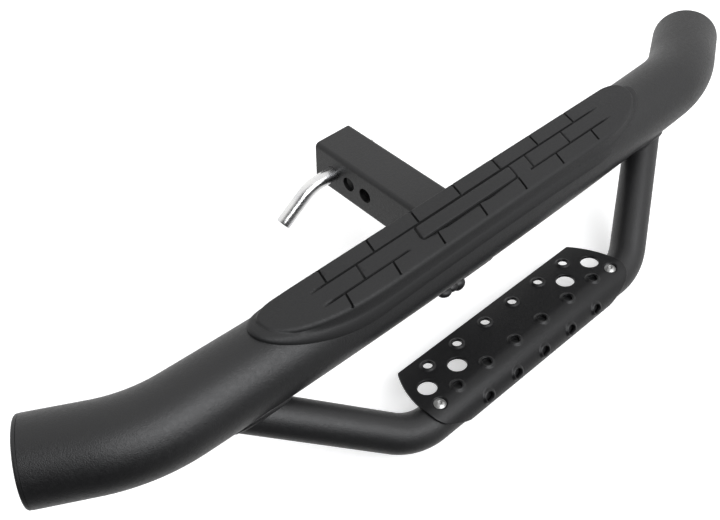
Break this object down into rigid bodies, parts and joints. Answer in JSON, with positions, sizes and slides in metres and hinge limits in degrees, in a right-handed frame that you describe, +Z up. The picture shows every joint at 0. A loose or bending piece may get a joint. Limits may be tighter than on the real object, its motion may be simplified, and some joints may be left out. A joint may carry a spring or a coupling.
{
  "type": "hitch receiver step",
  "caption": "Bent cross tube step with a moulded pad, a square receiver shank with pin holes, and a lower hoop carrying a perforated step plate.",
  "frame": {"origin": "on the shank's centre line, at the axis of the pin hole nearest the vehicle", "axes": "+X runs along the cross tube, to the right for someone behind the vehicle and facing it; +Y points forwards along the shank into the receiver; +Z is up"},
  "size_m": [0.9468, 0.3146, 0.1621],
  "materials": {
    "powder_coat": "black textured powder coat, matte",
    "weld_coat": "black powder coat over a rippled weld bead",
    "plate_coat": "black powder coat, a little glossier",
    "pad_polymer": "matte black moulded polymer with a fine grain",
    "cap_plastic": "matte black moulded plastic",
    "clip_nylon": "natural nylon",
    "screw_steel": "bright stainless steel",
    "zinc": "zinc plated steel",
    "pin_zinc": "bright zinc plated steel",
    "spring_steel": "bright spring wire"
  },
  "bodies": {
    "step": {"main_tube": "powder_coat", "end_cap_left": "cap_plastic", "end_cap_right": "cap_plastic", "step_pad": "pad_polymer", "pad_clip_1": "clip_nylon", "pad_clip_2": "clip_nylon", "pad_clip_3": "clip_nylon", "pad_clip_4": "clip_nylon", "receiver_shank": "powder_coat", "shank_weld": "weld_coat", "drop_tube": "powder_coat", "leg_weld_left": "weld_coat", "leg_weld_right": "weld_coat", "step_plate": "plate_coat", "plate_screw_left": "screw_steel", "plate_screw_right": "screw_steel", "plate_insert_left": "zinc", "plate_insert_right": "zinc"},
    "pin": {"hitch_pin": "pin_zinc", "hairpin_clip": "spring_steel"}
  },
  "joints": [
    {"name": "pin_turn", "type": "hinge", "parent": "step", "child": "pin", "pos_m": [0, 0, 0], "axis": [1, 0, 0], "continuous": true}
  ]
}
